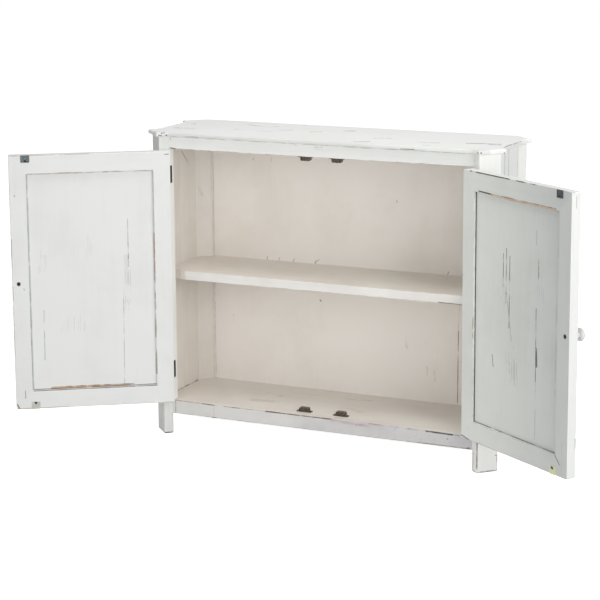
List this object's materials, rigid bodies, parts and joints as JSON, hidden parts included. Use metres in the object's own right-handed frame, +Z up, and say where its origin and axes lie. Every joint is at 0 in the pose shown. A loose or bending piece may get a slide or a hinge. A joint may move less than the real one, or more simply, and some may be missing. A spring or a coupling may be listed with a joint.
{
  "type": "credenza",
  "caption": "Shallow painted cabinet on short canted corner posts, with a pair of hinged panelled doors, turned knobs, magnetic catches and a fixed shelf.",
  "frame": {"origin": "on the floor, in the plane midway between the two doors, at the middle of the whole depth that the cabinet takes with its doors standing open", "axes": "+X to the right along the front, +Y from the front to the back, +Z up"},
  "size_m": [1.6346, 0.5572, 0.86],
  "materials": {
    "outside_paint": "chalky white paint, rubbed to brown wood on the edges",
    "inside_paint": "thin cream wash over warm wood",
    "bronze": "dark bronze lacquer",
    "dark_steel": "darkened by age",
    "magnet_steel": "dull",
    "plate_steel": "dull plating with traces of paint"
  },
  "bodies": {
    "cabinet": {"top_board": "outside_paint", "front_left_post": "outside_paint", "front_right_post": "outside_paint", "back_left_post": "outside_paint", "back_right_post": "outside_paint", "front_top_rail": "outside_paint", "front_bottom_rail": "outside_paint", "back_top_rail": "inside_paint", "back_bottom_rail": "inside_paint", "catch_rail": "inside_paint", "left_side_front_board": "outside_paint", "left_side_back_board": "outside_paint", "right_side_front_board": "outside_paint", "right_side_back_board": "outside_paint", "back_panel": "inside_paint", "bottom_board": "inside_paint", "shelf": "inside_paint", "shelf_cleats": "inside_paint", "floor_cleats": "inside_paint", "glue_blocks": "inside_paint", "left_door_jamb": "outside_paint", "right_door_jamb": "outside_paint", "left_upper_frame_leaf": "dark_steel", "left_lower_frame_leaf": "dark_steel", "right_upper_frame_leaf": "dark_steel", "right_lower_frame_leaf": "dark_steel", "left_hinge_pins": "dark_steel", "right_hinge_pins": "dark_steel", "left_jamb_screws": "dark_steel", "right_jamb_screws": "dark_steel", "lower_left_catch": "bronze", "lower_right_catch": "bronze", "upper_left_catch": "bronze", "upper_right_catch": "bronze", "catch_magnets": "magnet_steel", "catch_screw_set": "dark_steel"},
    "left_door": {"left_door_hinge_stile": "outside_paint", "left_door_free_stile": "outside_paint", "left_door_top_rail": "outside_paint", "left_door_bottom_rail": "outside_paint", "left_door_panel": "outside_paint", "left_upper_door_leaf": "dark_steel", "left_lower_door_leaf": "dark_steel", "left_strike_plates": "plate_steel", "left_door_screws": "dark_steel", "left_knob": "outside_paint", "left_knob_screw": "dark_steel"},
    "right_door": {"right_door_hinge_stile": "outside_paint", "right_door_free_stile": "outside_paint", "right_door_top_rail": "outside_paint", "right_door_bottom_rail": "outside_paint", "right_door_panel": "outside_paint", "right_upper_door_leaf": "dark_steel", "right_lower_door_leaf": "dark_steel", "right_strike_plates": "plate_steel", "right_door_screws": "dark_steel", "right_knob": "outside_paint", "right_knob_screw": "dark_steel"}
  },
  "joints": [
    {"name": "left_door_hinge", "type": "hinge", "parent": "cabinet", "child": "left_door", "pos_m": [-0.44207, -0.00768, 0.43], "axis": [0, 0, 1], "range_deg": [-5, 146]},
    {"name": "right_door_hinge", "type": "hinge", "parent": "cabinet", "child": "right_door", "pos_m": [0.44207, -0.00768, 0.43], "axis": [0, 0, -1], "range_deg": [-5, 146]}
  ]
}
